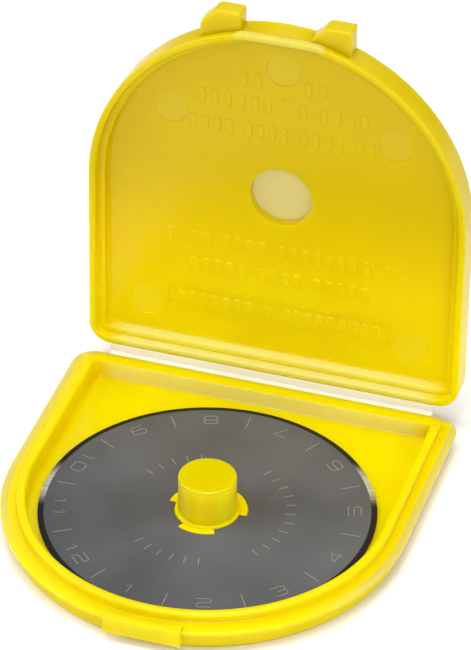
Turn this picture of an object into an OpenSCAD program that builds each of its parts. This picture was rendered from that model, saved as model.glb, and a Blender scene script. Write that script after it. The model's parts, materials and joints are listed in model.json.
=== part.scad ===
// Hinged storage case for one 45 mm rotary blade, with the blade in it.
// Origin: on the underside of the base, on the axis of the blade. +Z up, hinge towards +Y.

/* [Blade] */
// Diameter of the blade
blade_d = 45; // [40:0.5:46]
// Thickness of the blade
blade_t = 0.3; // [0.2:0.05:0.4]
// Width of the ground bevel
bevel_w = 0.8; // [0.5:0.05:2]
// Diameter of the round hole between the lobes
hole_d = 8.9; // [8:0.05:9.5]
// Diameter over the three lobes of the hole
lobe_d = 10.9; // [10:0.1:12]
// Angle that one lobe spans
lobe_angle = 60; // [30:1:80]

/* [Base] */
// Half width of the base, and radius of its round front
base_r = 27.4; // [26.5:0.1:30]
// Distance from the blade axis to the back edge
base_back = 27.05; // [26:0.05:30]
// Radius of the two back corners
corner_r = 3; // [1:0.1:5]
// Thickness of the floor
floor_t = 1.5; // [1:0.1:2]
// Height of the ledge that the lid lands on
ledge_z = 3.35; // [2.8:0.05:4]
// Width of the thin rim that overhangs the wall
overhang = 0.95; // [0.3:0.05:1.5]
// Thickness of that rim
rim_t = 0.65; // [0.4:0.05:1.2]
// Height of the raised ridge round the well
ridge_z = 4.65; // [4:0.05:5.2]
// Thickness of the ridge
ridge_w = 1.25; // [0.8:0.05:1.3]
// Inner radius of the well
well_r = 24; // [23.5:0.05:24.2]
// Distance from the blade axis to the back wall of the well
well_back = 24.2; // [23.5:0.1:24.6]
// Height of the land between the well and the hinge
back_land_z = 3.9; // [3.5:0.05:4.3]

/* [Post] */
// Diameter of the post
post_d = 7.8; // [7:0.1:7.9]
// Height of the top of the post
post_z = 7.5; // [6.5:0.05:7.5]
// Radius of the rounded edge of the post
post_edge = 0.3; // [0.2:0.05:1]
// Diameter of the hub at its foot, which centres the blade
hub_d = 8.7; // [7.95:0.05:8.8]
// Diameter of the seat under the blade
seat_d = 13; // [11:0.5:20]
// Height of the seat above the floor
seat_h = 0.1; // [0.05:0.05:0.3]

/* [Lid] */
// Half width of the lid
lid_r = 26.4; // [26:0.1:27]
// Thickness of the outer wall of the lid
lid_wall = 1; // [0.8:0.05:1.05]
// Width of the inner step of the lid
lid_step = 0.95; // [0.5:0.05:1.2]
// Height of the inner face of the panel with the lid shut
panel_z = 6.2; // [5.5:0.05:6.6]
// Height of the closed case
case_h = 7.8; // [7.8:0.1:9]
// Diameter of the thin disc that clears the post
window_d = 8.75; // [8.2:0.05:10]
// Thickness of that disc
window_t = 0.2; // [0.15:0.05:0.2]
// Angle that the lid stands open in the rest pose
rest_angle = 91.5; // [0:0.5:155]

/* [Hinge] */
// Height of the crease line
crease_z = 3.25; // [3:0.05:3.3]
// Distance from the blade axis to the crease line
crease_y = 28; // [27.5:0.05:29]
// Length of the hinge strip
hinge_l = 46.2; // [30:0.2:48]
// Thickness of each hinge leaf
leaf_t = 0.35; // [0.2:0.05:0.5]

/* [Grips] */
// Length of the front tab of the base
tab_l = 10.4; // [8:0.1:10.8]
// Height of the front tab
tab_h = 2.5; // [1.5:0.1:3]
// Length of one ear of the lid
ear_l = 3.5; // [2:0.1:5]
// Gap between the two ears
ear_gap = 11.6; // [11:0.1:14]
// Reach of the ears past the front of the lid
ear_reach = 1.9; // [1:0.1:4]
// Thickness of the ears
ear_t = 3; // [1:0.1:3.4]
// How far the ears are set in from the outer face of the lid
ear_set = 0.3; // [0:0.1:1]

/* [Hidden] */
$fn = 96;
eps = 0.01;
fit_gap = 0.05;               // gap over each landing face with the lid shut
key_gap = 0.1;                // gap between the post's keys and the lobes
blade_z = floor_t + seat_h;   // underside of the blade
blade_top = blade_z + blade_t;
hub_top = blade_top + 0.15;
edge_t = 0.06;                // thickness left at the cutting edge
lobe_turns = [-90, 30, 150];
wall_r = base_r - overhang;
foot_r = wall_r - 0.4;        // the underside is set in by this step
foot_h = 0.4;
ridge_r = well_r + ridge_w;
land_back = crease_y - 2.05;  // back of the raised land, clear of the lid's wall
lid_back = base_back;
lid_z = ledge_z + fit_gap;
lid_step_z = ridge_z + fit_gap;
pocket_r = lid_r - lid_wall;
panel_r = pocket_r - lid_step;
lid_round = 0.5;              // step that rounds the outer edge of the lid
mark_r = 2.4;
mark_depth = 0.1;
pip_r = 0.35;
pip_h = 0.2;
flat_depth = 0.4;             // flat on the lid's front that clears the tab
flat_h = 1.1;
ear_shift = 0.3;               // how far right of the middle the ears stand, with their flares
yellow = [0.95, 0.82, 0.02];
pale = [0.9, 0.86, 0.56];

// Flat outline with a round front and a straight back with two round corners
module d_shape(r, back, corner = 0.4) {
    intersection() {
        circle(r = r);
        translate([-r, -r]) square([2 * r, r + eps]);
    }
    translate([-r, 0]) square([2 * r, back - corner]);
    translate([-r + corner, back - corner - eps]) square([2 * (r - corner), corner + eps]);
    for (side = [-1, 1])
        translate([side * (r - corner), back - corner]) circle(r = corner, $fn = 48);
}

// Solid slab of that outline between two heights
module d_slab(r, back, z0, z1, corner = 0.4) {
    translate([0, 0, z0]) linear_extrude(z1 - z0) d_shape(r, back, corner);
}

// Turns the children from the shut position to the rest position about the crease
module opened() {
    translate([0, crease_y, crease_z])
        rotate([-rest_angle, 0, 0])
            translate([0, -crease_y, -crease_z]) children();
}

// Sector of a disc that is centred on the angle turn
module sector(r, turn, span) {
    rotate(turn)
        intersection() {
            circle(r = r);
            polygon([[0, 0], [2 * r, -2 * r * tan(span / 2)], [2 * r, 2 * r * tan(span / 2)]]);
        }
}

// Lower half of the case: floor, walls, landing ledge and ridge
module base_shell() {
    color(yellow) difference() {
        union() {
            d_slab(foot_r, base_back - overhang - 0.4, 0, foot_h + eps, corner_r - 1);
            d_slab(wall_r, base_back - overhang, foot_h, ledge_z - eps, corner_r - 0.5);
            d_slab(base_r, base_back, ledge_z - rim_t, ledge_z, corner_r);
            intersection() {
                d_slab(ridge_r, land_back, ledge_z - eps, ridge_z, 1.5);
                translate([-base_r, -base_r, 0]) cube([2 * base_r, base_r + well_back + 0.3, ridge_z]);
            }
            d_slab(ridge_r, land_back, ledge_z - eps, back_land_z, 1.5);
        }
        d_slab(well_r, well_back, floor_t, ridge_z + 1, 0.4);
        // socket that the foot of the post fills
        translate([0, 0, floor_t - 0.5]) cylinder(d = hub_d, h = 1);
    }
}

// Post with its seat, and three keys that fill the lobes of the blade
module center_post() {
    color(yellow) {
        translate([0, 0, hub_top - eps]) rotate_extrude()
            union() {
                square([post_d / 2, post_z - hub_top + eps - post_edge]);
                square([post_d / 2 - post_edge, post_z - hub_top + eps]);
                translate([post_d / 2 - post_edge, post_z - hub_top + eps - post_edge])
                    circle(r = post_edge, $fn = 32);
            }
        translate([0, 0, floor_t - 0.5]) cylinder(d = hub_d, h = hub_top - floor_t + 0.5);
        translate([0, 0, floor_t]) cylinder(d = seat_d, h = seat_h);
        for (turn = lobe_turns)
            translate([0, 0, floor_t]) linear_extrude(blade_top - floor_t)
                sector(lobe_d / 2 - key_gap, turn, lobe_angle - 3);
    }
}

// Straight tab under the front edge, between the ears of the lid
module front_tab() {
    tab_front = base_r + 0.2;
    tab_back = lid_r + 0.1;
    color(yellow) difference() {
        translate([-tab_l / 2, -tab_front, ledge_z + 0.45 - tab_h])
            cube([tab_l, tab_front - wall_r + 1, tab_h]);
        // room for the landing ledge and for the lid
        d_slab(wall_r, base_back, -1, ledge_z - rim_t + eps);
        d_slab(base_r, base_back, ledge_z - rim_t, ledge_z);
        d_slab(tab_back, base_back, ledge_z - eps, ridge_z);
    }
}

// Half of the living hinge that belongs to the base
module hinge_base_leaf() {
    color(pale) translate([-hinge_l / 2, base_back, crease_z - leaf_t])
        cube([hinge_l, crease_y - base_back, leaf_t]);
}

// Half of the living hinge that belongs to the lid
module hinge_lid_leaf() {
    color(pale) opened()
        translate([-hinge_l / 2, lid_back, crease_z])
            cube([hinge_l, crease_y - lid_back, leaf_t]);
}

// Shallow round marks left by the mould on the inner face of the lid
module mould_marks() {
    for (x = [-15.6, 15.6]) translate([x, -11.3]) circle(r = mark_r, $fn = 48);
    for (x = [-18.8, 18.8]) translate([x, 20.4]) circle(r = mark_r, $fn = 48);
    translate([0, -19.8]) circle(r = mark_r, $fn = 48);
}

// Upper half of the case, drawn shut and turned open
module lid_shell() {
    color(yellow) opened() difference() {
        union() {
            difference() {
                union() {
                    d_slab(lid_r, lid_back, lid_z, case_h - lid_round, corner_r);
                    d_slab(lid_r - lid_round, lid_back - lid_round, case_h - lid_round - eps, case_h,
                           corner_r - lid_round);
                }
                d_slab(pocket_r, land_back + 0.1, lid_z - 1, lid_step_z, corner_r - 1);
                d_slab(panel_r, land_back - lid_step, lid_z - 1, panel_z, 0.4);
            }
            for (spot = [[0, -15.2], [-13.2, 7.8], [13.2, 7.8]])
                translate([spot.x, spot.y, panel_z - pip_h]) cylinder(r = pip_r, h = pip_h + eps, $fn = 24);
        }
        // hole over the post, closed by the thin disc
        translate([0, 0, panel_z - 1]) cylinder(d = window_d, h = 3);
        translate([0, 0, panel_z - 1]) linear_extrude(1 + mark_depth) mould_marks();
        translate([-ear_gap / 2, -lid_r - 1, lid_z - 1])
            cube([ear_gap, 1 + flat_depth, 1 + flat_h]);
    }
}

// Thin disc over the tip of the post
module lid_window() {
    color(pale) opened()
        translate([0, 0, case_h - window_t]) cylinder(d = window_d, h = window_t);
}

// Lug at the front edge of the lid, with its right side at the place given. Its left side flares.
module ear(right) {
    flare = 2.2;
    tip = lid_r + ear_reach;
    left = right - ear_l;
    color(yellow) opened() difference() {
        translate([0, 0, case_h - ear_set - ear_t]) linear_extrude(ear_t)
            polygon([[right, -20], [right, -tip], [left, -tip],
                     [left - flare, -tip + flare], [left - flare, -20]]);
        d_slab(lid_r, lid_back, lid_z - 1, case_h - lid_round, corner_r);
        d_slab(lid_r - lid_round, lid_back - lid_round, case_h - lid_round - eps, case_h + 1,
               corner_r - lid_round);
    }
}

module left_ear() {
    ear(ear_shift - ear_gap / 2);
}

module right_ear() {
    ear(ear_shift + ear_gap / 2 + ear_l);
}

// Round blade with a bevel on both faces and a three-lobed hole
module blade() {
    half = blade_t / 2;
    color([0.42, 0.43, 0.42]) translate([0, 0, blade_z]) difference() {
        rotate_extrude($fn = 180)
            polygon([[0, 0], [blade_d / 2 - bevel_w, 0], [blade_d / 2, half - edge_t / 2],
                     [blade_d / 2, half + edge_t / 2], [blade_d / 2 - bevel_w, blade_t], [0, blade_t]]);
        translate([0, 0, -1]) cylinder(d = hole_d, h = 2);
        for (turn = lobe_turns)
            translate([0, 0, -1]) linear_extrude(2) sector(lobe_d / 2, turn, lobe_angle);
    }
}

base_shell();
center_post();
front_tab();
hinge_base_leaf();
hinge_lid_leaf();
lid_shell();
lid_window();
left_ear();
right_ear();
blade();
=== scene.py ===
# %% [markdown]
# # A hinged blade case, standing open
# The object is a small clamshell case of translucent yellow polypropylene. Its base holds
# one round blade on a post, and its lid stands open on a thin moulded hinge. Everything
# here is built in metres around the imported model, which gives the places and the joints.

import json
import math

import bmesh
import bpy
from mathutils import Matrix, Vector


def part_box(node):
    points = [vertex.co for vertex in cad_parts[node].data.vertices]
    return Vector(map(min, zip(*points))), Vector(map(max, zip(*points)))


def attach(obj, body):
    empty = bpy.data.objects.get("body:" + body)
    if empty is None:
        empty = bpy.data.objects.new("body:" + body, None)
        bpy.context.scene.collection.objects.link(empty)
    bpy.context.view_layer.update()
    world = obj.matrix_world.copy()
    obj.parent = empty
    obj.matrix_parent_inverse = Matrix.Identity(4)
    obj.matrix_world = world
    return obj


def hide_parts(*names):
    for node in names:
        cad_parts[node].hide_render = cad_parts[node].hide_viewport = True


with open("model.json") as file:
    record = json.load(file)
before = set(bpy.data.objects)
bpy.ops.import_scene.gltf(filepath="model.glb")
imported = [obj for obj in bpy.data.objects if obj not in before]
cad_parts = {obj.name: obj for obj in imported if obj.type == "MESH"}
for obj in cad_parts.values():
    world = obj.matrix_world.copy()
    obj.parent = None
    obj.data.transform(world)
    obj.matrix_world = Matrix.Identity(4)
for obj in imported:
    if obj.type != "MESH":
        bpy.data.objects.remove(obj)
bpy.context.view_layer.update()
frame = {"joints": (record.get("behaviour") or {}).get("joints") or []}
hinge = next(joint for joint in frame["joints"] if joint["name"] == "lid_swing")
CREASE = Vector(hinge["pos_m"])

# %% [markdown]
# # Working in millimetres
# The case is small, so its sizes are easier to read in millimetres. Each mesh is planned in
# millimetres and turned to metres once, when the object is made.

# %% Make an object from a mesh that was planned in millimetres
TO_METRES = Matrix.Scale(0.001, 4)
MERGE_DISTANCE = 0.0005
SHARP_FROM = math.radians(38)


def make_piece(bm, name, body, node=None, place=Matrix.Identity(4), second=None, pale=None):
    """Turns a planned mesh into an object that rides on a body and stands for a CAD node.

    Faces for which second(centre) is true take the piece's second material. The function
    pale(point) tells where the plastic looks pale, mostly where it is thin, and by the lid's
    hinge also as painted light: from 0 to 1 it looks clear and light, and from 0 to -1 it
    looks milky, like an overhanging rim.
    """
    bmesh.ops.remove_doubles(bm, verts=bm.verts, dist=MERGE_DISTANCE)
    bmesh.ops.recalc_face_normals(bm, faces=bm.faces)
    if second:
        for face in bm.faces:
            face.material_index = int(second(face.calc_center_median()))
    shares = bm.verts.layers.float.new("paleness")
    for vertex in bm.verts:
        vertex[shares] = pale(vertex.co) if pale else 0.0
    bm.transform(TO_METRES @ place)
    for edge in bm.edges:
        edge.smooth = len(edge.link_faces) == 2 and edge.calc_face_angle(0) < SHARP_FROM
    for face in bm.faces:
        face.smooth = True
    mesh = bpy.data.meshes.new(name)
    bm.to_mesh(mesh)
    bm.free()
    piece = bpy.data.objects.new(name, mesh)
    bpy.context.collection.objects.link(piece)
    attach(piece, body)
    if node:
        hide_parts(node)
    weighted = piece.modifiers.new("Weighted normals", "WEIGHTED_NORMAL")
    weighted.keep_sharp = True
    print(name, "has", len(mesh.polygons), "faces")
    return piece


def box_mm(node):
    """Lowest and highest corner of a CAD node, in millimetres."""
    low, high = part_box(node)
    return low * 1000, high * 1000


print("the base shell spans", [[round(value, 2) for value in corner] for corner in box_mm("base_shell")])

# %% [markdown]
# # The D outline
# Both halves of the case share one outline: a half circle at the front, two straight sides,
# and a straight back with round corners. Every ring of a shell is this outline with other
# sizes and the same number of points, so two rings always join with clean four-sided faces.

# %% One ring of the D outline
SIDE_SHARES = (0.15, 0.3, 0.45, 0.6, 0.75, 0.87, 0.92, 0.95, 0.98)
BACK_SHARES = tuple(step / 16 for step in range(1, 16))
ARC_STEPS = 128
CORNER_STEPS = 12


def d_ring(radius, back, corner, height):
    """Points of the outline, counterclockwise from the left end of the front arc."""
    ring = []
    for step in range(ARC_STEPS + 1):
        angle = math.pi * (1 + step / ARC_STEPS)
        ring.append(Vector((radius * math.cos(angle), radius * math.sin(angle), height)))
    straight = back - corner
    ring += [Vector((radius, straight * share, height)) for share in SIDE_SHARES]
    inner = radius - corner
    for step in range(CORNER_STEPS + 1):
        angle = math.pi / 2 * step / CORNER_STEPS
        ring.append(Vector((inner + corner * math.cos(angle),
                            straight + corner * math.sin(angle), height)))
    ring += [Vector((inner * (1 - 2 * share), back, height)) for share in BACK_SHARES]
    for step in range(CORNER_STEPS + 1):
        angle = math.pi / 2 * (1 + step / CORNER_STEPS)
        ring.append(Vector((-inner + corner * math.cos(angle),
                            straight + corner * math.sin(angle), height)))
    ring += [Vector((-radius, straight * share, height)) for share in reversed(SIDE_SHARES)]
    return ring


print("points in one ring:", len(d_ring(27, 28, 3, 0)))

# %% [markdown]
# # Rounded profiles
# A moulded edge is never sharp, and the small round is what catches the light. A profile is
# a list of stations, and each station says how far its corner is rounded.

# %% Round the corners of a profile
LONGEST_SHARE = 0.45


def soften(stations, steps=4):
    """Stations are (radius, back, corner, height, rounding). Returns the rounded stations."""
    rounded = []
    for index, station in enumerate(stations):
        here = Vector(station[:4])
        rounding = station[4]
        if not rounding:
            rounded.append(here)
            continue
        before = Vector(stations[index - 1][:4])
        after = Vector(stations[index + 1][:4])
        reach_in = math.dist((here[0], here[3]), (before[0], before[3]))
        reach_out = math.dist((here[0], here[3]), (after[0], after[3]))
        start = here.lerp(before, min(rounding / reach_in, LONGEST_SHARE))
        end = here.lerp(after, min(rounding / reach_out, LONGEST_SHARE))
        for step in range(steps + 1):
            share = step / steps
            rounded.append(start.lerp(here, share).lerp(here.lerp(end, share), share))
    return rounded


def loft(bm, rings):
    """Joins closed rings of the same count with four-sided faces, and returns their vertices."""
    loops = [[bm.verts.new(point) for point in ring] for ring in rings]
    for lower, upper in zip(loops, loops[1:]):
        count = len(lower)
        for index in range(count):
            following = (index + 1) % count
            bm.faces.new((lower[index], lower[following], upper[following], upper[index]))
    return loops


corner = soften([(9, 9, 1, 0, 0), (9, 9, 1, 4, 1), (5, 5, 1, 4, 0)])
print("one rounded corner becomes", len(corner) - 2, "stations")

# %% [markdown]
# # Base shell
# The base is a shallow tray. A thin rim stands out past its wall, a ridge runs round the
# well at the sides and the front, and a lower land lies behind the well. It could be cut
# out of a block with booleans, but those leave ragged faces that are hard to round. Here
# the whole shell is one loft, which keeps every face four-sided: it starts under the floor,
# climbs the wall, crosses the rim and the ridge, and goes down into the well. The ridge is
# pressed down to the land at the back.

# %% Sizes of the base shell
base_high = box_mm("base_shell")[1]
BASE_RADIUS = base_high.x
BASE_BACK = base_high.y
RIDGE_TOP = base_high.z
LEDGE_TOP = 3.35
LAND_TOP = 3.9
FLOOR_TOP = 1.5
RIM_WIDTH = 0.95
RIM_UNDER = 2.7
WELL_RADIUS = 24.0
WELL_BACK = 24.2
RIDGE_RADIUS = 25.25
RIDGE_BACK = 25.95
SKIRT_BOTTOM = 0.4
PRESS_START = 23.2
PRESS_END = 23.9
RIM_BAND = 1.1
RIM_FADE = (-20, -8)
CORNER_FADE = (22.4, 23.4)
BACK_WALL_HALF = 23.5
CLEAR_WALL = 0.6
print("the ridge stands", round(RIDGE_TOP - LEDGE_TOP, 2), "mm above the ledge")

# %% [markdown]
# # Where the base is thin
# Polypropylene is milky, so a thin wall lets more light through and looks pale. Making the
# walls thin and clear would need a slow, noisy light path. Each point of the mesh instead
# carries a number for how thin the wall is, and the material reads it.

# %% Mark the thin places, and press the ridge down

def ramp(value, start, end):
    """A smooth step from 0 at start to 1 at end."""
    share = min(max((value - start) / (end - start), 0), 1)
    return share * share * (3 - 2 * share)


def base_paleness(point):
    """The overhanging rim is thin at the sides, and so is the wall behind the well."""
    reach = max(math.hypot(point.x, min(point.y, 0)) - BASE_RADIUS, point.y - BASE_BACK)
    in_rim = RIM_UNDER - 0.05 < point.z < LEDGE_TOP + 0.01 and reach > -RIM_BAND
    fade = ramp(point.y, *RIM_FADE)
    if point.y > 25:
        fade *= ramp(abs(point.x), *CORNER_FADE)
    if in_rim:
        return -fade
    on_back_wall = abs(point.y - WELL_BACK) < 0.1 and abs(point.x) < BACK_WALL_HALF
    return CLEAR_WALL if on_back_wall and point.z < LAND_TOP + 0.01 else 0.0


def press_to_land(point):
    """The ridge sinks smoothly to the lower land behind the well."""
    ceiling = RIDGE_TOP + (LAND_TOP - RIDGE_TOP) * ramp(point.y, PRESS_START, PRESS_END)
    point.z = min(point.z, ceiling)
    return point


pressed = press_to_land(Vector((0, BASE_BACK, RIDGE_TOP)))
print("behind the well the ridge is", round(pressed.z, 2), "mm high")

# %% Build the base shell
# The fillet at the foot of the ridge stays small, so that the rim of the shut lid clears it.
base_profile = soften([
    (BASE_RADIUS - 1.55, BASE_BACK - 1.55, 2.0, 0.0, 0),
    (BASE_RADIUS - 1.35, BASE_BACK - 1.35, 2.0, 0.0, 0.15),
    (BASE_RADIUS - 1.35, BASE_BACK - 1.35, 2.0, SKIRT_BOTTOM, 0.1),
    (BASE_RADIUS - RIM_WIDTH, BASE_BACK - RIM_WIDTH, 2.5, SKIRT_BOTTOM, 0.12),
    (BASE_RADIUS - RIM_WIDTH, BASE_BACK - RIM_WIDTH, 2.5, RIM_UNDER, 0.1),
    (BASE_RADIUS, BASE_BACK, 3.0, RIM_UNDER, 0.25),
    (BASE_RADIUS, BASE_BACK, 3.0, LEDGE_TOP, 0.25),
    (BASE_RADIUS - 0.9, BASE_BACK - 0.5, 2.4, LEDGE_TOP, 0),
    (BASE_RADIUS - 1.15, BASE_BACK - 0.65, 2.3, LEDGE_TOP, 0),
    (RIDGE_RADIUS, RIDGE_BACK, 1.5, LEDGE_TOP, 0.2),
    (RIDGE_RADIUS, RIDGE_BACK, 1.5, RIDGE_TOP, 0.55),
    (WELL_RADIUS, WELL_BACK, 0.4, RIDGE_TOP, 0.45),
    (WELL_RADIUS, WELL_BACK, 0.4, FLOOR_TOP, 0.3),
    (WELL_RADIUS - 0.6, WELL_BACK - 0.6, 0.3, FLOOR_TOP, 0),
])
bm = bmesh.new()
rings = [[press_to_land(point) for point in d_ring(*station)] for station in base_profile]
base_loops = loft(bm, rings)
bm.faces.new(reversed(base_loops[0]))
bm.faces.new(base_loops[-1])
base_shell = make_piece(bm, "base_tray", "base", "base_shell", pale=base_paleness)

# %% [markdown]
# # Turning shapes
# The post is a turned shape. A turned shape is a profile of radius and height that is swept
# round the axis, with a single point on the axis at each end.

# %% Sweep a profile round the axis
def round_profile(corners, steps=5):
    """Corners are (radius, height, rounding). Returns the rounded (radius, height) points."""
    stations = [(radius, 0, 0, height, rounding) for radius, height, rounding in corners]
    return [(station[0], station[3]) for station in soften(stations, steps)]


def turn(bm, profile, segments=96, centre=(0, 0)):
    """Adds the turned surface of a profile, and closes both ends on the axis."""
    rings = []
    for radius, height in profile:
        rings.append([
            Vector((centre[0] + radius * math.cos(math.tau * step / segments),
                    centre[1] + radius * math.sin(math.tau * step / segments), height))
            for step in range(segments)])
    loops = loft(bm, rings)
    for loop, height in ((loops[0], profile[0][1]), (loops[-1], profile[-1][1])):
        tip = bm.verts.new((centre[0], centre[1], height))
        for index in range(segments):
            bm.faces.new((loop[index], loop[(index + 1) % segments], tip))
    return loops


print("a rounded step has", len(round_profile([(2, 0, 0), (2, 1, 0.1), (1, 1, 0)])), "points")

# %% [markdown]
# # Centre post
# The blade sits on a low seat round the foot of the post, and three keys at the foot fill
# the lobes of its hole. A plain cylinder would have no seat, no keys and no round edge, so
# the post is turned from a profile, with a shallow dish on top as moulding leaves it. Each
# key is a small sector with its top edge eased, and the foot takes a second material.

# %% Sizes of the centre post, and one key
post_high = box_mm("center_post")[1]
POST_TOP = post_high.z
POST_RADIUS = 3.9
HUB_RADIUS = 4.35
HUB_TOP = 2.05
BLADE_TOP = 1.9
LOBE_TURNS = (-90, 30, 150)
KEY_ROOT = 4.2
KEY_RADIUS = 5.35
KEY_SPAN = 57
SEAT_RADIUS = 6.5
SEAT_TOP = FLOOR_TOP + 0.1


def add_key(bm, turn_degrees, inner, outer, bottom, top, span_degrees):
    """One key: a sector between two radii with an eased top edge."""
    arc = [math.radians(turn_degrees + span_degrees * (step / 12 - 0.5)) for step in range(13)]

    def outline(shrink, height):
        trim = math.radians(shrink * 12)
        angles = [min(max(angle, arc[0] + trim), arc[-1] - trim) for angle in arc]
        outside = [Vector(((outer - shrink) * math.cos(angle),
                           (outer - shrink) * math.sin(angle), height)) for angle in angles]
        inside = [Vector((inner * math.cos(angle), inner * math.sin(angle), height))
                  for angle in reversed(angles)]
        return outside + inside

    loops = loft(bm, [outline(0, bottom), outline(0, top - 0.12), outline(0.04, top - 0.04),
                      outline(0.12, top)])
    bm.faces.new(reversed(loops[0]))
    bm.faces.new(loops[-1])


print("the post stands", round(POST_TOP - FLOOR_TOP, 2), "mm above the floor of the well")

# %% Build the centre post
bm = bmesh.new()
turn(bm, round_profile([
    (SEAT_RADIUS - 0.2, 1.0, 0),
    (SEAT_RADIUS, FLOOR_TOP, 0),
    (SEAT_RADIUS, SEAT_TOP, 0.05),
    (HUB_RADIUS, SEAT_TOP, 0.05),
    (HUB_RADIUS, HUB_TOP, 0.2),
    (POST_RADIUS, HUB_TOP, 0.2),
    (POST_RADIUS, POST_TOP, 0.35),
    (3.1, POST_TOP, 0.2),
    (0.4, POST_TOP - 0.03, 0),
]))
for turn_degrees in LOBE_TURNS:
    add_key(bm, turn_degrees, KEY_ROOT, KEY_RADIUS, FLOOR_TOP, BLADE_TOP + 0.1, KEY_SPAN)


def is_foot(centre):
    """The foot and the keys lie below the post's own wall."""
    return centre.z < HUB_TOP - 0.02 or math.hypot(centre.x, centre.y) > POST_RADIUS + 0.02


center_post = make_piece(bm, "centre_post", "base", "center_post", second=is_foot)

# %% [markdown]
# # Turning the lid open
# The lid is planned in the shut position, where its numbers match those of the base. One
# matrix then turns it about the crease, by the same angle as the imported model.

# %% Matrix that opens the lid
REST_ANGLE = 91.5
CREASE_MM = CREASE * 1000
OPENED = (Matrix.Translation(CREASE_MM)
          @ Matrix.Rotation(math.radians(-REST_ANGLE), 4, "X")
          @ Matrix.Translation(-CREASE_MM))
print("a point at the front of the lid moves to", OPENED @ Vector((0, -26, 6)))

# %% [markdown]
# # Flat faces with holes
# The lid's inner face carries relief: sunk mould marks, and raised bars. A flat face with
# holes is filled from its border loops. Each hole then gets a short wall and its own floor.

# %% Fill a flat face between its border loops
def loop_edges(bm, loop):
    """The edges of a closed loop of vertices, made where they are missing."""
    edges = []
    for index, vertex in enumerate(loop):
        following = loop[(index + 1) % len(loop)]
        edges.append(bm.edges.get((vertex, following)) or bm.edges.new((vertex, following)))
    return edges


def fill_between(bm, loops):
    """Fills the flat face between an outer loop and the loops inside it."""
    edges = [edge for loop in loops for edge in loop_edges(bm, loop)]
    bmesh.ops.triangle_fill(bm, use_beauty=True, use_dissolve=False, edges=edges)


trial = bmesh.new()
fill_between(trial, [[trial.verts.new(point) for point in ((0, 0, 0), (1, 0, 0), (0, 1, 0))]])
print("a filled triangle has", len(trial.faces), "face")
trial.free()

# %% Outlines of the relief
def ring_points(centre, radius, height, count=48):
    """A circle of points."""
    return [Vector((centre[0] + radius * math.cos(math.tau * step / count),
                    centre[1] + radius * math.sin(math.tau * step / count), height))
            for step in range(count)]


def upright_points(centre, width, length, height, steps=4):
    """A short upright bar with round ends."""
    points = []
    for side, start in ((1, 0), (-1, math.pi)):
        for step in range(steps + 1):
            angle = start + math.pi * step / steps
            x = centre[0] + width / 2 * math.cos(angle)
            y = centre[1] + side * (length - width) / 2 + width / 2 * math.sin(angle)
            points.append(Vector((x, y, height)))
    return points


def bar_points(centre, width, height, level):
    """A rectangle round a centre."""
    return [Vector((centre[0] + x * width / 2, centre[1] + y * height / 2, level))
            for x, y in ((-1, -1), (1, -1), (1, 1), (-1, 1))]


print("points round a block:", len(upright_points((0, 0), 1, 2, 0)))

# %% Raise or sink the area inside an outline
def relief(bm, outline, lift, inset):
    """Raises or sinks the area inside an outline, with a sloped edge. Returns its border loop.

    The shut lid's inner face looks down, so a lift above 0 sinks the area into the panel.
    """
    centre = sum(outline, Vector()) / len(outline)
    border = [bm.verts.new(point) for point in outline]
    top = []
    for point in outline:
        towards = (centre - point).normalized() * inset
        top.append(bm.verts.new(point + Vector((towards.x, towards.y, lift))))
    for index in range(len(border)):
        following = (index + 1) % len(border)
        bm.faces.new((border[index], border[following], top[following], top[index]))
    bm.faces.new(top)
    return border


trial = bmesh.new()
relief(trial, ring_points((0, 0), 1, 0), 0.1, 0.1)
print("a round mark has", len(trial.faces), "faces")
trial.free()

# %% [markdown]
# # Lid shell
# The lid is the base's partner: a wall that lands on the ledge, a step that fits over the
# ridge, and a flat panel with a hole for the post. It is one loft from the outer edge of the
# panel, over the wall, to the inner edge, with both flat faces filled afterwards. The inner
# face keeps five round marks of the mould, three small pips, and rows of plain blocks that
# are raised by about a tenth of a millimetre, where such a case has raised words. The relief
# could be a bump in the material, but real faces catch the light at the right places from
# every side, so it is cut into the mesh.

# %% Sizes of the lid, and the plan of its relief
LID_RADIUS = 26.4
LID_BACK = 27.05
LID_LAND = 3.4
STEP_HEIGHT = 4.7
PANEL_HEIGHT = 6.2
CASE_HEIGHT = 7.8
POCKET_RADIUS = 25.4
POCKET_BACK = 26.05
STEP_RADIUS = 24.45
STEP_BACK = 25.0
WINDOW_RADIUS = 4.375
WINDOW_STEPS = 72
FLAT_TOP = 4.6
FLAT_OUTER = -26.0
MOULD_MARKS = ((-15.6, -11.3), (15.6, -11.3), (-18.8, 20.4), (18.8, 20.4), (0, -19.8))
PIPS = ((0, -15.2), (-13.2, 7.8), (13.2, 7.8))
MARK_RADIUS = 2.4
MARK_DEPTH = 0.1
PIP_RADIUS = 0.35
PIP_RISE = 0.2
BLOCK_RISE = 0.12
BLOCK_ROWS = (
    (-17.6, 1.95, (2, 4)),
    (-14.0, 1.85, (6, 2, 4)),
    (-9.8, 1.65, (4, 4, 4, 2)),
    (8.9, 1.7, (4, 4, 10)),
    (13.1, 1.7, (5, 4, 5)),
    (18.7, 1.6, (7, 1, 9)),
)
WORD_GAP = 1.1
BLOCK_WIDTH = 1.0
BLOCK_HEIGHT = 2.5
LOW_BLOCK_HEIGHT = 1.9
FRAME_BARS = (((0, 17.1), 31.6, 0.25), ((0, 20.3), 31.6, 0.25),
              ((-15.8, 18.7), 0.25, 2.8), ((15.8, 18.7), 0.25, 2.8))
print("rows of blocks:", len(BLOCK_ROWS))

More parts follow.
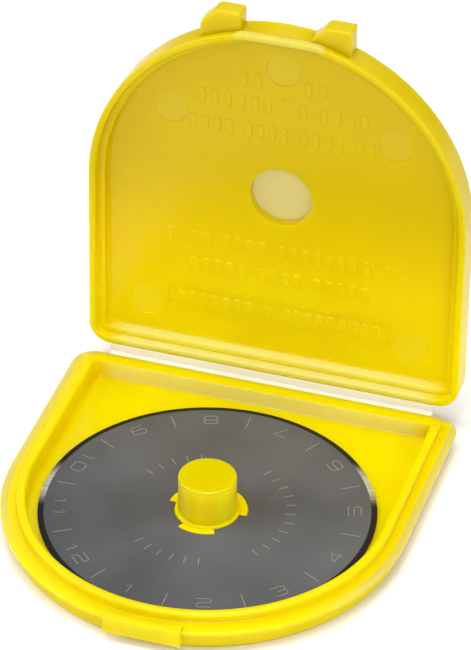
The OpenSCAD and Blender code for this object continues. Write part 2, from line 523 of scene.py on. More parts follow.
# %% Place the blocks
def block_spots():
    """Centre and height of each block. A block that would touch a mark or a pip is left out."""
    spots = []
    for y, pitch, words in BLOCK_ROWS:
        height = LOW_BLOCK_HEIGHT if y > 15 else BLOCK_HEIGHT
        x = -(sum(words) * pitch + (len(words) - 1) * WORD_GAP) / 2 + pitch / 2
        for count in words:
            for _ in range(count):
                reach = height / 2 + 0.2
                clear = [math.dist((x, min(max(spot[1], y - reach), y + reach)), spot) - radius
                         for kind, radius in ((MOULD_MARKS, MARK_RADIUS), (PIPS, PIP_RADIUS))
                         for spot in kind]
                if min(clear) > BLOCK_WIDTH / 2 + 0.1:
                    spots.append(((x, y), height))
                x += pitch
            x += WORD_GAP
    return spots


print("blocks on the lid:", len(block_spots()))

# %% [markdown]
# # The flat between the ears
# The tab of the base stands between the lid's ears, so the lid's rim is straight there. It
# could be cut off with a boolean. Moving the points of the loft to a straight line gives
# the same shape and keeps the clean faces.

# %% Move the points of the flat, and mark the lid's pale places, thin or painted with light
FLAT_HALF = 5.8
FLAT_INNER = -25.32
FLAT_PALENESS = 0.3
FOOT_PALENESS = 0.8
STEP_PALENESS = 0.7
MARK_PALENESS = 0.04


def cut_flat(point):
    """The rim of the lid is straight between the ears, which clears the tab of the base."""
    share = 1 - ramp(abs(point.x), FLAT_HALF - 0.5, FLAT_HALF + 0.2)
    if share > 0 and point.y < -24:
        radius = math.hypot(point.x, point.y)
        if point.z < FLAT_TOP and radius > 25.6:
            point.y += (FLAT_OUTER - point.y) * share
        elif point.z < STEP_HEIGHT + 0.01 and radius > 24.9:
            point.y += (FLAT_INNER - point.y) * share
    return point


def lid_paleness(point):
    """The lid looks pale where it is thin: in the mould marks, at the flat and by the hinge. By the hinge
    it is also painted light, on faces that turn up to the light when the lid is open.
    """
    if abs(point.x) < FLAT_HALF and point.z < FLAT_TOP and point.y < -24:
        return FLAT_PALENESS
    # By the hinge the paleness is partly thin wall and partly painted light: these faces turn up when the
    # lid is open.
    if point.y > STEP_BACK - 0.5 and abs(point.x) < BACK_WALL_HALF:
        if point.z < STEP_HEIGHT - 0.1 and 25.5 < point.y < 26.4:
            return FOOT_PALENESS
        in_step = point.y < STEP_BACK + 0.3 and point.z < PANEL_HEIGHT - 0.3
        return STEP_PALENESS if in_step else 0.0
    in_mark = abs(point.z - PANEL_HEIGHT - MARK_DEPTH) < 0.01
    return MARK_PALENESS if in_mark else 0.0


print("the flat stands at", round(cut_flat(Vector((0, -LID_RADIUS, LID_LAND))).y, 2), "mm")

# %% Build the lid shell
lid_profile = soften([
    (LID_RADIUS - 1.2, LID_BACK - 1.2, 2.0, CASE_HEIGHT, 0),
    (LID_RADIUS, LID_BACK, 3.0, CASE_HEIGHT, 0.7),
    (LID_RADIUS, LID_BACK, 3.0, FLAT_TOP + 0.05, 0),
    (LID_RADIUS, LID_BACK, 3.0, FLAT_TOP - 0.05, 0),
    (LID_RADIUS, LID_BACK, 3.0, LID_LAND, 0.25),
    (POCKET_RADIUS, POCKET_BACK, 1.7, LID_LAND, 0.25),
    (POCKET_RADIUS, POCKET_BACK, 1.7, STEP_HEIGHT, 0.12),
    (STEP_RADIUS, STEP_BACK, 0.4, STEP_HEIGHT, 0.25),
    (STEP_RADIUS, STEP_BACK, 0.4, PANEL_HEIGHT, 0.35),
    (23.7, 24.25, 0.3, PANEL_HEIGHT, 0),
])
bm = bmesh.new()
lid_loops = loft(bm, [[cut_flat(point) for point in d_ring(*station)] for station in lid_profile])
outer_hole, inner_hole = loft(bm, [
    ring_points((0, 0), WINDOW_RADIUS, height, WINDOW_STEPS) for height in (CASE_HEIGHT, PANEL_HEIGHT)])
inner_borders = [relief(bm, ring_points(spot, MARK_RADIUS, PANEL_HEIGHT), MARK_DEPTH, 0.06)
                 for spot in MOULD_MARKS]
inner_borders += [relief(bm, ring_points(spot, PIP_RADIUS, PANEL_HEIGHT, 16), -PIP_RISE, 0.08)
                  for spot in PIPS]
for spot, height in block_spots():
    outline = upright_points(spot, BLOCK_WIDTH, height, PANEL_HEIGHT)
    inner_borders.append(relief(bm, outline, -BLOCK_RISE, 0.12))
for centre, width, height in FRAME_BARS:
    outline = bar_points(centre, width, height, PANEL_HEIGHT)
    inner_borders.append(relief(bm, outline, -BLOCK_RISE, 0.1))
fill_between(bm, [lid_loops[-1], inner_hole] + inner_borders)
fill_between(bm, [lid_loops[0], outer_hole])
lid_shell = make_piece(bm, "lid_cover", "lid", "lid_shell", OPENED, pale=lid_paleness)

# %% [markdown]
# # Thin disc over the post
# Where the post meets the lid, the panel is only a thin disc, so it looks pale. A flat disc
# would do, but it is turned as a slightly dished sheet, which is how such a thin area comes
# out of the mould.

# %% Build the thin disc
DISC_THICKNESS = 0.2
bm = bmesh.new()
turn(bm, [
    (0.3, CASE_HEIGHT - 0.02), (3.0, CASE_HEIGHT - 0.01), (WINDOW_RADIUS, CASE_HEIGHT),
    (WINDOW_RADIUS, CASE_HEIGHT - DISC_THICKNESS), (3.0, CASE_HEIGHT - DISC_THICKNESS + 0.01),
    (0.3, CASE_HEIGHT - DISC_THICKNESS),
], WINDOW_STEPS)
lid_disc = make_piece(bm, "lid_disc", "lid", "lid_window", OPENED)

# %% [markdown]
# # Prisms with eased edges
# The ears, the tab and the hinge leaves are straight mouldings. Each is an outline that is
# extruded, and a narrow bevel then eases its edges.

# %% Extrude an outline between two planes
def prism(bm, outline, start, end):
    """Outline is a list of vectors. It is swept from start to end, which are offsets."""
    loops = loft(bm, [[point + start for point in outline], [point + end for point in outline]])
    bm.faces.new(reversed(loops[0]))
    bm.faces.new(loops[-1])


def ease_edges(bm, width, segments=3):
    """Rounds every edge of the mesh by a small width."""
    bmesh.ops.recalc_face_normals(bm, faces=bm.faces)
    bmesh.ops.bevel(bm, geom=bm.edges[:], offset=width, segments=segments,
                    profile=0.5, affect="EDGES", clamp_overlap=True)


print("helpers ready:", prism.__name__, "and", ease_edges.__name__)

# %% [markdown]
# # Front tab
# The tab is a straight bar under the front rim. It fills the gap between the ears of the
# shut lid, and gives the thumb something to push against. A plain box would leave a gap
# behind it, so its outline follows the round wall at the back.

# %% Build the front tab
tab_low, tab_high = box_mm("front_tab")
wall_radius = BASE_RADIUS - RIM_WIDTH
half = (tab_high.x - tab_low.x) / 2
outline = [Vector((-half, tab_low.y, 0)), Vector((half, tab_low.y, 0))]
for step in range(CORNER_STEPS + 1):
    x = half - 2 * half * step / CORNER_STEPS
    outline.append(Vector((x, -math.sqrt((wall_radius + 0.05) ** 2 - x * x), 0)))
bm = bmesh.new()
prism(bm, outline, Vector((0, 0, tab_low.z)), Vector((0, 0, tab_high.z)))
ease_edges(bm, 0.12)
front_tab = make_piece(bm, "front_tab_bar", "base", "front_tab")

# %% [markdown]
# # Living hinge
# The hinge is a strip of the same plastic, thinned to a crease so that it folds for years.
# One strip that bends would have to follow two bodies. Two stiff leaves that meet at the
# crease show the same thing, so each half of the case carries one. A leaf is a cross-section
# that is swept along the hinge, a little thinner at the crease.

# %% Build the two hinge leaves
LEAF_SINK = 0.02
LEAF_TAPER = 0.3
CREASE_THICKNESS = 0.15
leaf_low, leaf_high = box_mm("hinge_base_leaf")
leaf_section = [
    Vector((0, leaf_low.y - LEAF_SINK, leaf_low.z)),
    Vector((0, leaf_high.y - LEAF_TAPER, leaf_low.z)),
    Vector((0, leaf_high.y, leaf_high.z - CREASE_THICKNESS)),
    Vector((0, leaf_high.y, leaf_high.z)),
    Vector((0, leaf_low.y - LEAF_SINK, leaf_high.z)),
]
along = Vector((leaf_high.x, 0, 0))
bm = bmesh.new()
prism(bm, leaf_section, -along, along)
ease_edges(bm, 0.04, 2)
base_leaf = make_piece(bm, "hinge_leaf_of_base", "base", "hinge_base_leaf")

mirrored = [Vector((0, point.y, 2 * CREASE_MM.z - point.z)) for point in leaf_section]
bm = bmesh.new()
prism(bm, mirrored, -along, along)
ease_edges(bm, 0.04, 2)
lid_leaf = make_piece(bm, "hinge_leaf_of_lid", "lid", "hinge_lid_leaf", OPENED)

# %% [markdown]
# # Ears
# Two lugs at the front of the lid straddle the tab of the base. The left side of each one
# flares into the rim, so that it doesn't snap off. Both are the same shape, a sideways step
# apart, so one function builds them. Their edges are rounded more than the rest, because
# fingers push against them.

# %% Build both ears
EAR_LENGTH = 3.5
EAR_REACH = 1.9
EAR_TIP = LID_RADIUS + EAR_REACH
EAR_THICKNESS = 3.0
EAR_TOP = CASE_HEIGHT - 0.3
EAR_FLARE = 2.2
EAR_SINK = 0.75
EAR_ROUNDING = 0.5
LEFT_EAR_SIDE = -5.5
RIGHT_EAR_SIDE = 9.6
EAR_BACK_STEPS = 2


def build_ear(right, name, node):
    """One ear whose right side stands at the given place."""
    left = right - EAR_LENGTH
    root = left - EAR_FLARE
    outline = [(right, -EAR_TIP), (left, -EAR_TIP), (root, -EAR_TIP + EAR_FLARE)]
    for step in range(EAR_BACK_STEPS + 1):
        x = root + (right - root) * step / EAR_BACK_STEPS
        outline.append((x, -math.sqrt((LID_RADIUS - EAR_SINK) ** 2 - x * x)))
    points = [Vector((x, y, 0)) for x, y in outline]
    bm = bmesh.new()
    prism(bm, points, Vector((0, 0, EAR_TOP - EAR_THICKNESS)), Vector((0, 0, EAR_TOP)))
    ease_edges(bm, EAR_ROUNDING, 4)
    return make_piece(bm, name, "lid", node, OPENED)


left_ear = build_ear(LEFT_EAR_SIDE, "ear_left", "left_ear")
right_ear = build_ear(RIGHT_EAR_SIDE, "ear_right", "right_ear")

# %% [markdown]
# # Blade
# The blade is a disc of tool steel, ground to an edge from both sides. A boolean could punch
# the hole, but the flat faces are filled between the bevel and the hole instead, so the hole
# keeps its three lobes and the bevel keeps even faces. The bevel has its own finish.

# %% Sizes of the blade, and its hole
blade_low, blade_high = box_mm("blade")
BLADE_RADIUS = blade_high.x
BEVEL = 0.8
HOLE_RADIUS = 4.45
LOBE_RADIUS = 5.45
LOBE_SPAN = 60
EDGE_LAND = 0.03


def is_bevel(centre):
    """The ground bevel lies outside the flat face."""
    return math.hypot(centre.x, centre.y) > BLADE_RADIUS - BEVEL


def hole_outline(height):
    """The round hole with its three lobes."""
    points = []
    for degrees in range(0, 360, 2):
        offset = min(abs((degrees - turn + 180) % 360 - 180) for turn in LOBE_TURNS)
        radius = LOBE_RADIUS if offset < LOBE_SPAN / 2 else HOLE_RADIUS
        angle = math.radians(degrees)
        points.append(Vector((radius * math.cos(angle), radius * math.sin(angle), height)))
    return points


print("points round the hole:", len(hole_outline(0)))

# %% Build the blade
middle = (blade_low.z + blade_high.z) / 2
bm = bmesh.new()
rings = [ring_points((0, 0), radius, height, 240) for radius, height in (
    (BLADE_RADIUS - BEVEL, blade_low.z), (BLADE_RADIUS, middle - EDGE_LAND),
    (BLADE_RADIUS, middle + EDGE_LAND), (BLADE_RADIUS - BEVEL, blade_high.z))]
blade_loops = loft(bm, rings)
hole_loops = loft(bm, [hole_outline(blade_high.z), hole_outline(blade_low.z)])
fill_between(bm, [blade_loops[-1], hole_loops[0]])
fill_between(bm, [blade_loops[0], hole_loops[-1]])
blade = make_piece(bm, "blade_disc", "blade", "blade", second=is_bevel)

# %% [markdown]
# # Etched marks
# The blade carries twelve radial marks, the numbers 1 to 12 between them, and a ring of
# short plain strokes nearer the hole. A font would draw letters of its own shape, and an
# image isn't used here. The marks are ribbons of constant width that follow a line, and
# they lie only a hair above the steel, as an etched mark has no height to see.

# %% Draw a ribbon along a line
MARK_LIFT = 0.008
MARK_SINK = 0.004


def ribbon(bm, points, width, height):
    """A thin raised strip along a line of (x, y) points."""
    left, right = [], []
    for index, point in enumerate(points):
        before = points[max(index - 1, 0)]
        after = points[min(index + 1, len(points) - 1)]
        along = Vector((after[0] - before[0], after[1] - before[1])).normalized()
        across = Vector((-along.y, along.x)) * width / 2
        left.append((point[0] + across.x, point[1] + across.y))
        right.append((point[0] - across.x, point[1] - across.y))
    outline = left + right[::-1]
    low = [bm.verts.new((x, y, height - MARK_SINK)) for x, y in outline]
    high = [bm.verts.new((x, y, height + MARK_LIFT)) for x, y in outline]
    count = len(outline)
    half = len(left)
    for index in range(count):
        following = (index + 1) % count
        bm.faces.new((low[index], low[following], high[following], high[index]))
    for index in range(half - 1):
        bm.faces.new((high[index], high[index + 1], high[count - 2 - index], high[count - 1 - index]))
        bm.faces.new((low[count - 1 - index], low[count - 2 - index], low[index + 1], low[index]))


trial = bmesh.new()
ribbon(trial, [(0, 0), (1, 0), (1, 1)], 0.1, 0)
print("a ribbon of two strokes has", len(trial.faces), "faces")
trial.free()

# %% Plain strokes for the digits
DIGITS = {
    "0": [[(.2, 1), (.8, 1), (1, .8), (1, .2), (.8, 0), (.2, 0), (0, .2), (0, .8), (.2, 1)]],
    "1": [[(.2, .72), (.5, 1), (.5, 0)]],
    "2": [[(0, 1), (.85, 1), (1, .85), (1, .65), (.85, .52), (.15, .52), (0, .37), (0, 0), (1, 0)]],
    "3": [[(0, 1), (.85, 1), (1, .85), (1, .66), (.85, .52), (.3, .52)],
          [(.85, .52), (1, .38), (1, .15), (.85, 0), (0, 0)]],
    "4": [[(.75, 0), (.75, 1), (0, .35), (0, .28), (1, .28)]],
    "5": [[(1, 1), (.03, 1), (0, .55), (.85, .55), (1, .42), (1, .15), (.85, 0), (0, 0)]],
    "6": [[(.95, 1), (.2, 1), (0, .8), (0, .15), (.15, 0), (.85, 0), (1, .15), (1, .4),
           (.85, .55), (0, .55)]],
    "7": [[(0, 1), (1, 1), (.35, 0)]],
    "8": [[(.15, .53), (.03, .65), (.03, .87), (.15, 1), (.85, 1), (.97, .87), (.97, .65),
           (.85, .53), (.15, .53), (0, .4), (0, .15), (.15, 0), (.85, 0), (1, .15), (1, .4),
           (.85, .53)]],
    "9": [[(.05, 0), (.8, 0), (1, .2), (1, .85), (.85, 1), (.15, 1), (0, .85), (0, .6),
           (.15, .45), (1, .45)]],
}
print("digits drawn:", "".join(DIGITS))

# %% Sizes of the marks
TICK_START = -88.4
TICK_INNER = 18.3
TICK_OUTER = 20.9
DIGIT_HEIGHT = 1.7
DIGIT_WIDTH = 1.85
DIGIT_RADIUS = 19.5
DIGIT_ADVANCE = 2.4
STROKE = 0.1
RING_INNER = 10.4
RING_OUTER = 11.8
RING_ARCS = ((-126, -78), (-38, 62), (112, 152))


def polar(radius, degrees):
    """A point at a radius and an angle."""
    return (radius * math.cos(math.radians(degrees)), radius * math.sin(math.radians(degrees)))


print("the first mark starts at", [round(value, 1) for value in polar(TICK_INNER, TICK_START)])

# %% Lay out the marks, the numbers and the inner ring
bm = bmesh.new()
for step in range(12):
    degrees = TICK_START + 30 * step
    ribbon(bm, [polar(TICK_INNER, degrees), polar(TICK_OUTER, degrees)], STROKE, blade_high.z)
    label = str((step + 1) % 12 + 1)
    centre = degrees + 15
    for place, digit in enumerate(label):
        shift = (place - (len(label) - 1) / 2) * DIGIT_ADVANCE
        outward = Vector(polar(1, centre))
        upward = -outward
        rightward = Vector((upward.y, -upward.x))
        middle_point = outward * DIGIT_RADIUS + rightward * shift
        for stroke in DIGITS[digit]:
            line = [middle_point + rightward * (x - 0.5) * DIGIT_WIDTH
                    + upward * (y - 0.5) * DIGIT_HEIGHT for x, y in stroke]
            ribbon(bm, [(point.x, point.y) for point in line], STROKE, blade_high.z)
for start, end in RING_ARCS:
    count = round((end - start) / 10)
    for step in range(count + 1):
        degrees = start + (end - start) * step / count
        ribbon(bm, [polar(RING_INNER, degrees), polar(RING_OUTER, degrees)], STROKE, blade_high.z)
marks = make_piece(bm, "blade_marks", "blade")

# %% [markdown]
# # Node helpers
# Materials are written as node graphs. One function adds a node with its settings, its
# values and its links. Two more turn a hex colour into the linear numbers of a shader, and
# a size in millimetres into the scale of a pattern, because object space is in metres.

# %% Read a colour and a size
def linear(hex_colour):
    """Turns an sRGB hex colour into linear red, green, blue and alpha."""
    channels = [int(hex_colour[index:index + 2], 16) / 255 for index in (1, 3, 5)]
    return tuple(value / 12.92 if value <= 0.04045 else ((value + 0.055) / 1.055) ** 2.4
                 for value in channels) + (1.0,)


def per_metre(size_mm):
    """Scale of a pattern whose patches are about this many millimetres across."""
    return 1000 / size_mm


print("mid grey is", round(linear("#808080")[0], 3), "and 10 mm patches need scale", per_metre(10))

# %% Add a node, and start a material
# Inputs and outputs of a mix node of colours are known by number.
FACTOR, COLOUR_A, COLOUR_B, COLOUR_OUT = 0, 6, 7, 2


def add_node(material, kind, values=None, links=None, **settings):
    """Adds one node. Values and links are keyed by the input's name or number."""
    node = material.node_tree.nodes.new(kind)
    for name, setting in settings.items():
        setattr(node, name, setting)
    for name, value in (values or {}).items():
        node.inputs[name].default_value = value
    for name, source in (links or {}).items():
        material.node_tree.links.new(source, node.inputs[name])
    return node


def start_material(name):
    """An empty material with its output node and its Principled shader."""
    material = bpy.data.materials.new(name)
    material.use_nodes = True
    material.node_tree.nodes.clear()
    shader = add_node(material, "ShaderNodeBsdfPrincipled")
    add_node(material, "ShaderNodeOutputMaterial", links={"Surface": shader.outputs[0]})
    print("started", name)
    return material, shader


# %% [markdown]
# # Yellow polypropylene
# The case is polypropylene, injection-moulded in a polished mould. Light enters it, scatters
# and leaves again a few millimetres away, so the shadows inside the case are soft and warm,
# thin walls look milky, and the gloss is weak. A scattering volume would do this truly, but
# it is slow and noisy. Subsurface scattering with a little transmission gives the same glow
# quickly. Red and green light travels some three millimetres in this yellow, and blue
# hardly enters it.
#
# The colour drifts slowly where the melt flowed. A painted shade also deepens it towards the
# lid's free end and on the top of the post. Typical values for the plastic are IOR 1.49,
# roughness 0.2 and specular level 0.5. The level is matched far lower, because the case
# shows few reflections.

# %% Values of the plastic
PLASTIC_IOR = 1.49
PLASTIC_ROUGHNESS = 0.22
SCATTER_METRES = (0.003, 0.0024, 0.0004)
FLOW_MM = 11.1
# Spacing of the post's upright streaks, which are painted light bent through its hollow wall.
STREAK_MM = 2.38
STREAK_STRETCH = 0.06
RIM_COLOUR = "#D8C664"
CLEAR_COLOUR = "#FBF19A"
# The polish of the mould leaves a grain of about 0.02 mm. It is drawn at 0.4 mm, as coarse
# as it needs to be to show, and only 0.05 mm deep before its strength is turned down.
GRAIN_MM = 0.4
GRAIN_DEPTH = 0.00005
GRAIN_STRENGTH = 0.03
print("scale of the drift of colour:", round(per_metre(FLOW_MM), 1))


# %% Build a polypropylene
def polypropylene(name, deep, light, transmission, subsurface, roughness=PLASTIC_ROUGHNESS,
                  reach=1.0, top=None, flow_mm=FLOW_MM, stretch=1.0, gloss=0.06):
    """Injection-moulded polypropylene.

    Deep and light are the ends of the slow drift of colour. Its patches are flow_mm wide,
    and taller than that where stretch is below 1. Reach scales how far light travels
    inside. Top is (colour, start, end), a painted shade: the colour turns into that one
    between two heights in metres. Gloss is the specular level.
    """
    material, shader = start_material(name)
    place = add_node(material, "ShaderNodeTexCoord").outputs["Object"]
    drawn = add_node(material, "ShaderNodeMapping", {"Scale": (1.0, 1.0, stretch)}, {"Vector": place})
    flow = add_node(material, "ShaderNodeTexNoise",
                    {"Scale": per_metre(flow_mm), "Detail": 3.0, "Roughness": 0.5},
                    {"Vector": drawn.outputs[0]})
    drift = add_node(material, "ShaderNodeValToRGB", links={"Fac": flow.outputs[0]})
    drift.color_ramp.elements[0].position = 0.3
    drift.color_ramp.elements[0].color = linear(deep)
    drift.color_ramp.elements[1].position = 0.7
    drift.color_ramp.elements[1].color = linear(light)
    colour = drift.outputs[0]
    # The top colour is a painted shade that deepens the colour with height.
    if top:
        painted_shade_colour, start, end = top
        parts = add_node(material, "ShaderNodeSeparateXYZ", links={"Vector": place})
        rise = add_node(material, "ShaderNodeMapRange", {"From Min": start, "From Max": end},
                        {"Value": parts.outputs["Z"]}, interpolation_type="SMOOTHSTEP")
        colour = add_node(material, "ShaderNodeMix", {COLOUR_B: linear(painted_shade_colour)},
                          {FACTOR: rise.outputs[0], COLOUR_A: colour},
                          data_type="RGBA").outputs[COLOUR_OUT]
    # The paleness of the mesh is below 0 on milky rims, and above 0 on thin, clear walls and on
    # the lid's faces by the hinge, where it is partly painted light.
    paleness = add_node(material, "ShaderNodeAttribute", attribute_name="paleness")
    for end, thin_colour in ((-1.0, RIM_COLOUR), (1.0, CLEAR_COLOUR)):
        share = add_node(material, "ShaderNodeMapRange", {"From Min": 0.0, "From Max": end},
                         {"Value": paleness.outputs["Fac"]})
        colour = add_node(material, "ShaderNodeMix", {COLOUR_B: linear(thin_colour)},
                          {FACTOR: share.outputs[0], COLOUR_A: colour},
                          data_type="RGBA").outputs[COLOUR_OUT]
    material.node_tree.links.new(colour, shader.inputs["Base Color"])
    grain = add_node(material, "ShaderNodeTexNoise", {"Scale": per_metre(GRAIN_MM), "Detail": 2.0},
                     {"Vector": place})
    bump = add_node(material, "ShaderNodeBump",
                    {"Strength": GRAIN_STRENGTH, "Distance": GRAIN_DEPTH},
                    {"Height": grain.outputs[0]})
    material.node_tree.links.new(bump.outputs[0], shader.inputs["Normal"])
    for socket, value in (("Roughness", roughness), ("IOR", PLASTIC_IOR),
                          ("Specular IOR Level", gloss), ("Transmission Weight", transmission),
                          ("Subsurface Weight", subsurface), ("Subsurface Radius", SCATTER_METRES),
                          ("Subsurface Scale", reach)):
        shader.inputs[socket].default_value = value
    return material


# %% The plastic of the two shells
# Both shells glow softly, and a painted shade makes the lid deeper towards its free end.
moulded_base = polypropylene("polypropylene_moulded_base", "#FADB00", "#FFE300", 0.3, 0.8)
moulded_lid = polypropylene("polypropylene_moulded_lid", "#FADB00", "#FFE300", 0.3, 0.8,
                            top=("#DBC300", 0.012, 0.036))

# %% The plastic of the post and of its foot
# The post is a hollow moulding. Light bent through its inner wall shows as upright streaks
# some 2.4 mm apart, and those streaks are painted light in its colour. Its top is a painted
# shade, a deeper yellow. It is thicker than the shells, so light travels further in it, and
# it has a brighter gloss. The foot is thick, so it scatters less and looks flatter.
moulded_post = polypropylene("polypropylene_moulded_post", "#F8D400", "#FFE600", 0.1, 0.9, 0.15, 2.0,
                             top=("#CEBC00", 0.0068, 0.0074), flow_mm=STREAK_MM,
                             stretch=STREAK_STRETCH, gloss=0.35)
moulded_foot = polypropylene("polypropylene_moulded_foot", "#ECD000", "#F2DA00", 0.1, 0.3, 0.2)

# %% The plastic where it is thinnest
# The folded hinge has gone white from its first bends, and the disc is so thin that most
# light passes through. Neither is thick enough to scatter under its surface.
moulded_hinge = polypropylene("polypropylene_folded_hinge", "#F8F3DE", "#FBF8E8", 0.25, 0.0)
moulded_disc = polypropylene("polypropylene_thin_disc", "#E6D686", "#EADC8E", 0.5, 0.0, 0.25)

# %% Give the plastic to its pieces
for piece, finish, slot in (
        (base_shell, moulded_base, "case_plastic"), (front_tab, moulded_base, "case_plastic"),
        (center_post, moulded_post, "case_plastic"), (lid_shell, moulded_lid, "case_plastic"),
        (left_ear, moulded_lid, "case_plastic"), (right_ear, moulded_lid, "case_plastic"),
        (lid_disc, moulded_disc, "thin_plastic"), (base_leaf, moulded_hinge, "thin_plastic"),
        (lid_leaf, moulded_hinge, "thin_plastic")):
    piece.data.materials.append(finish)
    print(piece.name, "is", finish.name)
center_post.data.materials.append(moulded_foot)

# %% [markdown]
# # Ground tool steel
# The flat face of the blade is hardened tool steel that was ground and left matt. To the eye
# it is an even dark grey with soft, cloudy patches and no clear reflection. Bare steel is
# fully metallic with a roughness of 0.2 to 0.4. In a white room that turns nearly white, so
# the metallic share is matched down to 0.2 and the roughness up to 0.5.

# %% Ground faces
CLOUD_MM = 14.3
ground_steel, shader = start_material("tool_steel_ground")
place = add_node(ground_steel, "ShaderNodeTexCoord").outputs["Object"]
patches = add_node(ground_steel, "ShaderNodeTexNoise", {"Scale": per_metre(CLOUD_MM), "Detail": 2.0},
                   {"Vector": place})
shade = add_node(ground_steel, "ShaderNodeValToRGB", links={"Fac": patches.outputs[0]})
shade.color_ramp.elements[0].position = 0.35
shade.color_ramp.elements[0].color = linear("#46484E")
shade.color_ramp.elements[1].position = 0.75
shade.color_ramp.elements[1].color = linear("#5A5C64")
ground_steel.node_tree.links.new(shade.outputs[0], shader.inputs["Base Color"])
shader.inputs["Metallic"].default_value = 0.2
shader.inputs["Roughness"].default_value = 0.5
blade.data.materials.append(ground_steel)

# %% [markdown]
# # Honed bevel
# The bevel is honed across the edge. Its fine scratches glint where they turn towards the
# light, so two short sectors of the bevel look bright and streaky, and the rest looks nearly
# black. The scratches are too fine to make those sectors by themselves, so the light is
# painted in the colour, along one line across the blade: the bright sectors are a painted
# glint, and the near-black rest is a painted dark reflection. Real scratches are about
# 0.02 mm wide. They are drawn 0.5 mm wide, as coarse as they need to be to show.

# %% Scratches and the painted glint of two sectors
SCRATCH_MM = 0.5
ACROSS_PAINTED_GLINT = (-0.3, 0.954, 0.0)
PAINTED_GLINT_OFFSET = 0.0055
PAINTED_GLINT_CORE = 0.001
PAINTED_GLINT_REACH = 0.005
PAINTED_GLINT_STRENGTH = 0.62
honed_steel, shader = start_material("tool_steel_honed")
place = add_node(honed_steel, "ShaderNodeTexCoord").outputs["Object"]
parts = add_node(honed_steel, "ShaderNodeSeparateXYZ", links={"Vector": place})
turning = add_node(honed_steel, "ShaderNodeMath", links={0: parts.outputs["Y"], 1: parts.outputs["X"]},
                   operation="ARCTAN2")
around = add_node(honed_steel, "ShaderNodeCombineXYZ", links={"X": turning.outputs[0]})
# The pattern runs over the angle, so its scale is the radius over the width of a scratch.
scratches = add_node(honed_steel, "ShaderNodeTexNoise",
                     {"Scale": BLADE_RADIUS / SCRATCH_MM, "Detail": 3.0}, {"Vector": around.outputs[0]})
across = add_node(honed_steel, "ShaderNodeVectorMath", {1: ACROSS_PAINTED_GLINT}, {0: place},
                  operation="DOT_PRODUCT")
offset = add_node(honed_steel, "ShaderNodeMath", {1: -PAINTED_GLINT_OFFSET}, {0: across.outputs["Value"]},
                  operation="ADD")
distance = add_node(honed_steel, "ShaderNodeMath", links={0: offset.outputs[0]}, operation="ABSOLUTE")
# The sectors are painted glint, brightest close to one line across the blade.
sectors = add_node(honed_steel, "ShaderNodeMapRange",
                   {"From Min": PAINTED_GLINT_CORE, "From Max": PAINTED_GLINT_REACH, "To Min": PAINTED_GLINT_STRENGTH,
                    "To Max": 0.0},
                   {"Value": distance.outputs[0]}, interpolation_type="SMOOTHSTEP")
strength = add_node(honed_steel, "ShaderNodeMath", links={0: scratches.outputs[0], 1: sectors.outputs[0]},
                    operation="MULTIPLY")

# %% Colour of the honed bevel: painted glint and painted dark reflection
shade = add_node(honed_steel, "ShaderNodeValToRGB", links={"Fac": strength.outputs[0]})
# Near black is painted dark reflection, and pale grey is painted glint.
shade.color_ramp.elements[0].position = 0.0
shade.color_ramp.elements[0].color = linear("#1E2024")
shade.color_ramp.elements[1].position = 0.34
shade.color_ramp.elements[1].color = linear("#CCCED0")
honed_steel.node_tree.links.new(shade.outputs[0], shader.inputs["Base Color"])
shader.inputs["Metallic"].default_value = 0.7
shader.inputs["Roughness"].default_value = 0.45
blade.data.materials.append(honed_steel)
print("finishes of the blade:", [finish.name for finish in blade.data.materials])

# %% [markdown]
# # Etched marks
# Etching roughens bare steel, so the marks scatter light and look paler than the face round
# them. The strokes are only 0.1 mm wide, so no pattern inside a stroke could be seen, and
# they are one pale, rough, fully metallic grey.

# %% Etched strokes
etched_steel, shader = start_material("tool_steel_etched")
shader.inputs["Base Color"].default_value = linear("#A6A8AC")
shader.inputs["Metallic"].default_value = 1.0
shader.inputs["Roughness"].default_value = 0.6
marks.data.materials.append(etched_steel)

# %% [markdown]
# # Floor
# The case stands on white paper in a small studio. A backdrop that curves up is usual, but
# the camera looks down on the case, so one flat sheet fills its view. It lies a hair below
# the case, so that the two surfaces never flicker through each other.

# %% Paper floor
FLOOR_REACH = 1.5
FLOOR_DROP = 0.00002
bm = bmesh.new()
bmesh.ops.create_grid(bm, x_segments=4, y_segments=4, size=FLOOR_REACH)
mesh = bpy.data.meshes.new("studio_floor")
bm.to_mesh(mesh)
bm.free()
floor = bpy.data.objects.new("studio_floor", mesh)
bpy.context.collection.objects.link(floor)
floor.location.z = -FLOOR_DROP
paper, shader = start_material("paper_white_matt")
shader.inputs["Base Color"].default_value = linear("#F4F4F4")
shader.inputs["Roughness"].default_value = 0.9
floor.data.materials.append(paper)

# %% [markdown]
# # Light
# A translucent case needs light from several sides, or its far walls go dull. Large soft
# boxes stand round it and above it, and one small lamp adds the thin highlights on the round
# edges. A faint white world fills what is left. A picture of a room could light it too, but
# boxes are easier to place and keep the scene in one file.

# %% World
WORLD_STRENGTH = 0.2
world = bpy.data.worlds.new("studio")
bpy.context.scene.world = world
world.use_nodes = True
background = world.node_tree.nodes["Background"]
background.inputs["Color"].default_value = (1, 1, 1, 1)
background.inputs["Strength"].default_value = WORLD_STRENGTH
print("world strength", WORLD_STRENGTH)

# %% Soft boxes
TARGET = Vector((0, 0.012, 0.015))


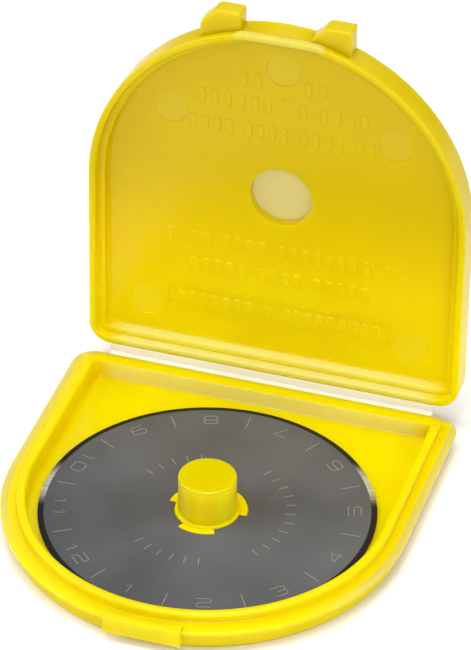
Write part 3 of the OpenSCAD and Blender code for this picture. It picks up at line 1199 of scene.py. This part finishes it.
def add_softbox(name, azimuth, elevation, distance, size, watts):
    """A square light that faces the object from an azimuth and an elevation."""
    data = bpy.data.lights.new(name, "AREA")
    data.shape = "SQUARE"
    data.size = size
    data.energy = watts
    light = bpy.data.objects.new(name, data)
    bpy.context.collection.objects.link(light)
    a, e = math.radians(azimuth), math.radians(elevation)
    offset = Vector((math.sin(a) * math.cos(e), -math.cos(a) * math.cos(e), math.sin(e)))
    light.location = TARGET + offset * distance
    light.rotation_euler = offset.to_track_quat("Z", "Y").to_euler()
    print(name, "gives", watts, "watts")


add_softbox("front_box", 30, 22, 0.7, 0.5, 2.2)
add_softbox("left_box", -75, 35, 0.7, 0.5, 2.4)
add_softbox("right_box", 95, 35, 0.7, 0.5, 1.2)
add_softbox("top_box", 0, 88, 0.7, 0.4, 3.6)
add_softbox("back_box", 180, 40, 0.8, 0.6, 0.6)
add_softbox("small_lamp", 0, 50, 0.7, 0.1, 0.6)

# %% [markdown]
# # Camera
# The camera looks down on the case from the front right, through a long lens that keeps the
# two halves of the case in their true proportion. It could be aimed at a point, but its
# place is given along its own right, up and back directions instead, from the centre of the
# blade's face. That keeps the framing apart from the viewing angle.

# %% Camera
CAMERA_AZIMUTH = 17.471
CAMERA_ELEVATION = 35.892
CAMERA_ROLL = 0.386
CAMERA_PLACE = (3.713, 24.334, 574.644)
LENS_MM = 240.4
SENSOR_MM = 36
camera_data = bpy.data.cameras.new("camera")
camera = bpy.data.objects.new("camera", camera_data)
bpy.context.collection.objects.link(camera)
azimuth, elevation, roll = (math.radians(degrees)
                            for degrees in (CAMERA_AZIMUTH, CAMERA_ELEVATION, CAMERA_ROLL))
back = Vector((math.sin(azimuth) * math.cos(elevation), -math.cos(azimuth) * math.cos(elevation),
               math.sin(elevation)))
right = Vector((math.cos(azimuth), math.sin(azimuth), 0))
up = back.cross(right)
camera_right = right * math.cos(roll) + up * math.sin(roll)
camera_up = up * math.cos(roll) - right * math.sin(roll)
spot = (camera_right * CAMERA_PLACE[0] + camera_up * CAMERA_PLACE[1] + back * CAMERA_PLACE[2]
        + Vector((0, 0, BLADE_TOP)))
pose = Matrix((camera_right, camera_up, back)).transposed().to_4x4()
pose.translation = spot / 1000
camera.matrix_world = pose
camera_data.sensor_fit = "VERTICAL"
camera_data.sensor_height = SENSOR_MM
camera_data.lens = LENS_MM
bpy.context.scene.camera = camera
bpy.context.scene.view_settings.view_transform = "Standard"
print("camera at", [round(value, 3) for value in pose.translation])
